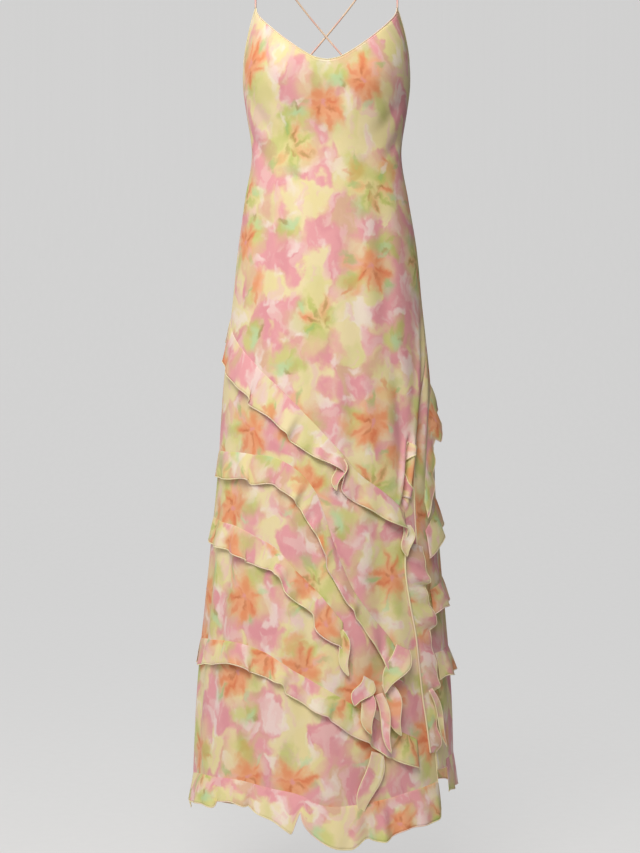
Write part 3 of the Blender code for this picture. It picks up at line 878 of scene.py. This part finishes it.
# The dabs of colour in one flower: how far ahead and aside of its middle each lies, how it is
# turned, half its length and width, its colour in a warm flower and in a green one, and its strength
Dab = namedtuple("Dab", "ahead aside turn length width warm green strength")
FLOWER = [
    Dab(0.008, 0.022, 70, 0.038, 0.026, BUTTER, LIME, 0.62),
    Dab(0.020, -0.018, 20, 0.036, 0.026, LIME, BUTTER, 0.62),
    Dab(-0.026, -0.010, -30, 0.034, 0.027, BUTTER, GRASS, 0.60),
    Dab(-0.030, 0.022, 140, 0.024, 0.015, GRASS, BUTTER, 0.60),
    Dab(0.036, 0.018, 35, 0.022, 0.012, MINT, GRASS, 0.55),
    Dab(0.006, -0.038, 100, 0.022, 0.012, GRASS, LEAF, 0.55),
    Dab(0.003, 0.001, 0, 0.029, 0.023, PEACH, LIME, 0.85),
    Dab(0.023, 0.004, 10, 0.024, 0.0110, PEACH, BUTTER, 0.90),
    Dab(0.013, 0.015, 48, 0.021, 0.0100, ORANGE, PEACH, 0.75),
    Dab(-0.004, 0.016, 102, 0.015, 0.0085, PEACH, GRASS, 0.80),
    Dab(-0.015, 0.003, 166, 0.014, 0.0095, ORANGE, LIME, 0.70),
    Dab(-0.013, -0.017, 232, 0.023, 0.0105, PEACH, BUTTER, 0.90),
    Dab(0.006, -0.018, 290, 0.018, 0.0090, ORANGE, GRASS, 0.75),
    Dab(0.020, -0.012, 330, 0.020, 0.0080, PEACH, PEACH, 0.75),
    Dab(0.027, 0.005, 12, 0.018, 0.0044, ORANGE, GRASS, 0.75),
    Dab(0.015, 0.019, 50, 0.015, 0.0040, CORAL, CORAL, 0.55),
    Dab(-0.005, 0.018, 104, 0.010, 0.0034, ORANGE, LEAF, 0.60),
    Dab(-0.015, -0.019, 233, 0.011, 0.0062, BLUSH, ORANGE, 0.45),
    Dab(0.007, -0.021, 291, 0.012, 0.0038, CORAL, BUTTER, 0.55),
    Dab(0.023, -0.014, 331, 0.014, 0.0036, CORAL, OLIVE, 0.50),
    Dab(0.012, 0.001, 6, 0.0078, 0.0030, RUST, OLIVE, 0.42),
    Dab(0.007, 0.010, 52, 0.0080, 0.0028, CORAL, OLIVE, 0.55),
    Dab(-0.006, -0.008, 230, 0.0070, 0.0032, CORAL, OLIVE, 0.42),
    Dab(0.004, -0.011, 292, 0.0072, 0.0028, RUST, RUST, 0.42),
    Dab(0.032, 0.020, 30, 0.0130, 0.0040, LEAF, MINT, 0.60),
    Dab(-0.026, -0.026, 215, 0.0140, 0.0042, LEAF, LEAF, 0.60),
    Dab(-0.010, 0.032, 95, 0.0120, 0.0038, MINT, PALE, 0.55),
    Dab(0.000, 0.000, 0, 0.0050, 0.0044, ROSE, BUTTER, 0.60),
]
BUD = [
    Dab(0.000, 0.000, 90, 0.028, 0.019, BUTTER, LIME, 0.50),
    Dab(0.012, 0.008, 60, 0.017, 0.010, LIME, GRASS, 0.70),
    Dab(-0.010, -0.008, 120, 0.018, 0.011, PEACH, LIME, 0.85),
    Dab(0.004, -0.010, 80, 0.016, 0.0080, ORANGE, MINT, 0.75),
    Dab(-0.003, 0.006, 110, 0.010, 0.0040, CORAL, GRASS, 0.60),
    Dab(0.014, -0.004, 30, 0.008, 0.0034, LEAF, OLIVE, 0.55),
]


def flowers(n, at, ground, move, spacing, dabs, bare, warm):
    """Blurred flowers, one to a scattered cell, each turned its own way.

    Of the cells, the share bare has no flower, and the share warm of the rest is orange.
    """
    shaken = n.wander(n.stretched(at, (1.0, 0.90, 1.0), move), (19.0, 1.0, 0.028), (85.0, 2.0, 0.0125))
    cells = n.add("ShaderNodeTexVoronoi", voronoi_dimensions="2D", feature="F1")
    borders = n.add("ShaderNodeTexVoronoi", voronoi_dimensions="2D", feature="DISTANCE_TO_EDGE")
    for node in (cells, borders):
        n.put(node, "Vector", shaken)
        n.put(node, "Scale", 1 / spacing)
        n.put(node, "Randomness", 0.62)
    pick = n.add("ShaderNodeSeparateColor")
    n.put(pick, 0, cells.outputs["Color"])
    blooms = n.between(pick.outputs[0], bare, bare + 0.02)
    inside = n.math("MULTIPLY", blooms, n.between(borders.outputs["Distance"], 0.01, 0.24))
    orange = n.between(pick.outputs[2], 1 - warm, 1.02 - warm)
    turned = n.add("ShaderNodeVectorRotate", rotation_type="Z_AXIS")
    n.put(turned, "Vector", n.vector("SUBTRACT", shaken, cells.outputs["Position"]))
    n.put(turned, "Angle", n.math("MULTIPLY", pick.outputs[1], 2 * math.pi))
    colour = ground
    for dab in dabs:
        place = n.add("ShaderNodeMapping", vector_type="TEXTURE")
        n.put(place, "Vector", turned.outputs[0])
        n.put(place, "Location", (dab.ahead, dab.aside, 0))
        n.put(place, "Rotation", (0, 0, math.radians(dab.turn)))
        n.put(place, "Scale", (dab.length, dab.width, 1))
        spread = n.between(n.vector("LENGTH", place.outputs[0]), 1.40, 0.25, 0.0, dab.strength)
        share = n.math("MULTIPLY", spread, inside)
        tint = dab.warm if dab.warm == dab.green else n.mix(orange, dab.green, dab.warm)
        colour = n.mix(share, colour, tint)
    return colour


def print_colour(n, at, move):
    """The printed ground of blurred pink, cream and near-white patches, with flowers over it."""
    wandering = n.wander(n.stretched(at, (1.0, 0.80, 1.0), move), (26.0, 1.0, 0.038), (120.0, 2.0, 0.009))
    big = n.noise(wandering, 13.0)
    ground = n.mix(n.between(big, 0.420, 0.525), CREAM, PINK)
    deeper = n.mix(n.between(big, 0.45, 0.53), BUTTER, DUSTY_PINK)
    patches = [
        (0.80, (5.3, 2.7, 0), 24.0, 2.0, 0.45, 0.62, 0.60, deeper),
        (0.80, (3.1, -6.2, 0), 19.0, 1.5, 0.55, 0.70, 0.40, LIME),
        (0.95, (-2.3, 4.4, 0), 27.0, 2.0, 0.54, 0.70, 0.70, PALE),
        (0.75, (7.9, -3.1, 0), 46.0, 2.0, 0.53, 0.68, 0.60, BLUSH),
    ]
    for squeeze, shift, scale, detail, low, high, strength, tint in patches:
        patch = n.noise(n.stretched(wandering, (1, squeeze, 1), shift), scale, detail)
        ground = n.mix(n.between(patch, low, high, 0.0, strength), ground, tint)
    move = Vector(move)
    budding = flowers(n, at, ground, tuple(move + Vector((0.83, 0.41, 0))), 0.082, BUD, 0.50, 0.60)
    return flowers(n, at, budding, tuple(move + Vector((0.31, 0.17, 0))), 0.119, FLOWER, 0.12, 0.72)


def chiffon(name, move):
    """Printed chiffon: matte, with a soft sheen and a fine crinkled weave."""
    n = Nodes(bpy.data.materials.new(name))
    at = n.cut()
    n.put(n.shader, "Base Color", print_colour(n, at, move))
    threads = [n.bands(at, direction, 420.0) for direction in ("X", "Y")]
    for wave in threads:
        n.put(wave, "Distortion", 1.2)
        n.put(wave, "Detail", 1.0)
    weave = n.math("MULTIPLY", n.math("ADD", *[wave.outputs["Fac"] for wave in threads]), 0.5)
    crinkle = n.noise(at, 260.0, 2.0, 0.3)
    n.raised(n.math("ADD", n.math("MULTIPLY", weave, 0.5), crinkle), 0.16, 0.0006)
    n.put(n.shader, "Roughness", n.between(crinkle, 0.3, 0.7, 0.60, 0.74))
    n.surface({"Sheen Weight": 0.06, "Sheen Roughness": 0.45, "Specular IOR Level": 0.16})
    return n.data


def rolled_edge():
    """Rolled hems and bound edges: the print's pale side, lightened further as a painted highlight, with
    the turns of the thread.
    """
    n = Nodes(bpy.data.materials.new("rolled hem thread"))
    at = n.cut()
    patches = n.noise(at, 9.0, 1.0)
    # Pale creams: the print's pale side, made lighter still as a painted highlight along the hems and
    # welts.
    colour = n.mix(n.between(patches, 0.42, 0.6), linear("FBEFC0"), linear("F8D9C9"))
    turns = n.bands(at, "X", 300.0).outputs["Fac"]
    n.put(n.shader, "Base Color", n.mix(n.math("MULTIPLY", turns, 0.12), colour, linear("E2BC8C")))
    n.raised(turns, 0.3, 0.0003)
    n.surface({"Roughness": 0.6, "Sheen Weight": 0.2})
    return n.data


def cord():
    """The straps: rouleau cords of pale pink cloth."""
    n = Nodes(bpy.data.materials.new("strap rouleau"))
    at = n.cut()
    colour = n.mix(n.between(n.noise(at, 16.0, 1.0), 0.40, 0.60), linear("E9B3AE"), linear("EBCFB4"))
    n.put(n.shader, "Base Color", colour)
    n.raised(n.noise(at, 420.0), 0.2, 0.0003)
    n.surface({"Roughness": 0.62, "Sheen Weight": 0.2})
    return n.data


def thread():
    """Sewing thread, whose stitches have no coordinates on the cut."""
    n = Nodes(bpy.data.materials.new("sewing thread"))
    where = n.add("ShaderNodeTexCoord").outputs["Object"]
    node = n.add("ShaderNodeTexNoise")
    n.put(node, "Vector", where)
    n.put(node, "Scale", 600.0)
    n.put(n.shader, "Base Color", n.mix(node.outputs["Fac"], linear("EBC9A8"), linear("F4DCC0")))
    n.put(n.shader, "Roughness", 0.55)
    return n.data


# The stage, lights and camera

def stage():
    """A plain pale floor that curves up into a backdrop. It glows as painted light, strongest behind the
    dress and fainter in front of it and to the right.
    """
    profile = [(STAGE_FRONT, FLOOR), (BACKDROP - COVE, FLOOR)]
    for k in range(1, COVE_STEPS + 1):
        turn = math.pi / 2 * k / COVE_STEPS
        profile.append((BACKDROP + COVE * (math.sin(turn) - 1), FLOOR + COVE * (1 - math.cos(turn))))
    profile.append((BACKDROP, BACKDROP_TOP))
    points = [(x, y, z) for y, z in profile for x in (-STAGE_HALF_WIDTH, STAGE_HALF_WIDTH)]
    faces = [(k, k + 1, k + 3, k + 2) for k in range(0, len(points) - 2, 2)]
    n = Nodes(bpy.data.materials.new("pale paper with painted glow"))
    where = n.add("ShaderNodeTexCoord").outputs["Object"]
    grain = n.noise(where, 40.0)
    n.put(n.shader, "Base Color", n.mix(grain, (0.29, 0.29, 0.29, 1.0), (0.31, 0.31, 0.31, 1.0)))
    parts = n.add("ShaderNodeSeparateXYZ")
    n.put(parts, 0, where)
    # Painted light: the glow fades towards the front and dims on the right of a wedge that follows the
    # camera's view.
    behind = n.between(parts.outputs["Y"], -0.9, 0.1, FRONT_GLOW, 1.0)
    edge = n.math("MULTIPLY", n.math("ADD", parts.outputs["Y"], 2.6), 0.21)
    dimmed_on_right = n.between(n.math("SUBTRACT", parts.outputs["X"], edge), 0.05, 0.70, 1.0, SIDE_GLOW)
    glow = n.math("MULTIPLY", n.math("MULTIPLY", behind, dimmed_on_right), STAGE_GLOW)
    n.put(n.shader, "Emission Strength", glow)
    n.surface({"Emission Color": (1.0, 1.0, 1.0, 1.0), "Roughness": 0.95, "Specular IOR Level": 0.1})
    made = mesh_object("floor_and_backdrop", points, faces)
    made.data.materials.append(n.data)


def key_light():
    """A soft square light above the camera, a little to the left of the photo."""
    data = bpy.data.lights.new("key light", "AREA")
    data.shape = "SQUARE"
    data.size = KEY_SIZE
    data.energy = KEY_POWER
    data.color = KEY_COLOUR
    made = placed("key light", data)
    made.location = KEY_PLACE
    made.rotation_euler = (Vector(KEY_TARGET) - Vector(KEY_PLACE)).to_track_quat("-Z", "Y").to_euler()


def world_light():
    """Soft light from all round, bright on the photo's left and fading to dark on its right."""
    n = Nodes(bpy.data.worlds.new("studio"), "Background")
    bpy.context.scene.world = n.data
    parts = n.add("ShaderNodeSeparateXYZ")
    n.put(parts, 0, n.add("ShaderNodeTexCoord").outputs["Generated"])
    side = n.add("ShaderNodeMapRange")
    n.put(side, "Value", parts.outputs["X"])
    n.put(side, "From Min", WORLD_FADE[0])
    n.put(side, "From Max", WORLD_FADE[1])
    n.put(n.shader, 0, n.mix(side.outputs["Result"], WORLD_LEFT, WORLD_RIGHT))
    n.put(n.shader, 1, WORLD_STRENGTH)
    bpy.context.scene.view_settings.view_transform = "Standard"


def camera():
    """The photo's camera: level, in front of the dress."""
    data = bpy.data.cameras.new("photo camera")
    data.sensor_width = SENSOR
    data.lens = SENSOR * FOCAL_PIXELS / PHOTO_HEIGHT
    data.dof.use_dof = False
    data.clip_end = CAMERA_REACH
    made = placed("photo camera", data)
    made.location = CAMERA_PLACE
    made.rotation_euler = (math.pi / 2, 0, 0)
    bpy.context.scene.camera = made


# Straps

def strap_route(side):
    """A strap's points: from its cup up to the shoulder, then down the back to the other side."""
    share = side * STRAP_SHARE
    cup_drop = float(front_top(share))
    angle = float(front_angle(np.array(share), np.array(cup_drop)))
    start = skin(angle, cup_drop) + np.array([0, 0, STRAP_END_GAP])
    half = float(section_at(UNDERARM_DROP).half_width)
    end_angle = 180 + side * math.degrees(math.asin(STRAP_BACK_REACH / half))
    seam = float(left_seam(UNDERARM_DROP))
    end_share = (end_angle - seam) / (360 + RIGHT_SEAM - seam)
    end = skin(end_angle, float(back_top(end_share))) + np.array([0, 0, STRAP_END_GAP])
    key = [start, start + np.array(STRAP_RISE) * (side, 1, 1)]
    for point in STRAP_LINE:
        depth = point.back + side * STRAP_RADIUS * point.clear
        key.append(np.array([side * STRAP_SPACING * point.spread, depth, -point.drop]))
    crossing = key[-1] + np.array([0, STRAP_RADIUS, 0])
    key = np.array(key + [end + (crossing - end) * STRAP_LAST_SHARE, end])
    along = length_along(key)
    places = np.linspace(0, along[-1], STRAP_STEPS)
    return np.stack([smooth(along, key[:, axis], places) for axis in range(3)], 1)


# The pieces of the dress


def binding(name, line, radius, edge):
    """A narrow rolled edge along a line of points."""
    made = tube(name, line, radius, EDGE_SIDES)
    finished(made, edge)
    return made


def trims(panel, shares, top, angle_of, slit_share, slit_low, edge, sewing):
    """A panel's bound top edge, the topstitching below it, and the rolled edge of its slit."""
    fine = np.linspace(shares[0], shares[-1], 3 * len(shares))
    drops = top(fine)
    line = skin(angle_of(fine, drops), drops)
    made = [binding(panel + "_top_edge", line, TOP_EDGE, edge)]
    drops = drops + TOPSTITCH_DOWN
    angles = angle_of(fine, drops)
    normals = outward_normal(angles, drops)
    row = skin(angles, drops) + normals * TOPSTITCH_LIFT
    made.append(stitches(panel + "_topstitch", row, normals, sewing))
    drops = np.linspace(SLIT_TOP, slit_low, SLIT_STEPS)
    line = skin(angle_of(slit_share, drops), drops)
    made.append(binding(panel + "_slit_edge", line, HEM_ROLL, edge))
    return made


def welts(edge):
    """The raised seams along which the slit flounces are sewn to the front."""
    made = []
    for flounce in FLOUNCES:
        if flounce.side:
            _, angles, drops = seam_frame(flounce)[:3]
            line = skin(angles, drops) + outward_normal(angles, drops) * WELT_LIFT
            made.append(binding(flounce.name + "_welt", line, WELT_RADIUS, edge))
    return made


def panels(edge, sewing):
    """The front and the back, with their bound, stitched and rolled edges."""
    front_cloth = chiffon("printed chiffon front", (0.0, 0.0, 0.0))
    back_cloth = chiffon("printed chiffon back", (3.37, 1.71, 0.0))
    front_shares = np.linspace(-1, 1, PANEL_COLUMNS + 1)
    back_shares = np.linspace(0, 1, PANEL_COLUMNS + 1)
    front, front_points = panel_piece("front_cloth", "front_panel", front_angle, front_shares,
                                      front_top, front_hem, front_cloth)
    back, back_points = panel_piece("back_cloth", "back_panel", back_angle, back_shares,
                                    back_top, back_hem, back_cloth)
    front_trims = trims("front", front_shares, front_top, front_angle, 1.0, HEM_DROP, edge, sewing)
    back_trims = trims("back", back_shares, back_top, back_angle, 0.0,
                       HEM_DROP - BACK_HEM_RISE_AT_SLIT, edge, sewing)
    front_trims + welts(edge)


def hung_cloth(name, points, cut, free_edge, roll, cloth, edge):
    """A hung sheet of chiffon, with a rolled hem along its free edge."""
    points, cut = facing_out(points, cut)
    piece = grid_mesh(name, points, cut)
    thicken(piece, 1)
    finished(piece, cloth)
    hem = binding(name.removesuffix("_cloth") + "_rolled_hem", free_edge, roll, edge)
    return piece


def flounces(cloth, edge):
    """The flounces, and their small turned-over ends."""
    for index, flounce in enumerate(FLOUNCES):
        points, cut = flounce_points(flounce, index)
        piece = hung_cloth(flounce.name + "_cloth", points, cut, points[-1], HEM_ROLL, cloth, edge)
        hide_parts(flounce.name)
    for index, leaf in enumerate(LEAVES):
        points, cut = leaf_points(leaf, index)
        outline = np.concatenate([points[:, 0], points[::-1, -1]])
        hung_cloth(leaf.name, points, cut, outline, LEAF_HEM_ROLL, cloth, edge)


def straps():
    """The two cords."""
    cloth = cord()
    for name, side in (("strap_left", 1), ("strap_right", -1)):
        strap = tube(name + "_cord", strap_route(side), CORD_RADIUS, CORD_SIDES)
        finished(strap, cloth)
        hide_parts(name)


def main():
    """Dresses the frame."""
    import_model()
    camera()
    stage()
    key_light()
    world_light()
    edge = rolled_edge()
    panels(edge, thread())
    flounces(chiffon("printed chiffon flounces", (1.7, 0.9, 0.0)), edge)
    straps()


main()
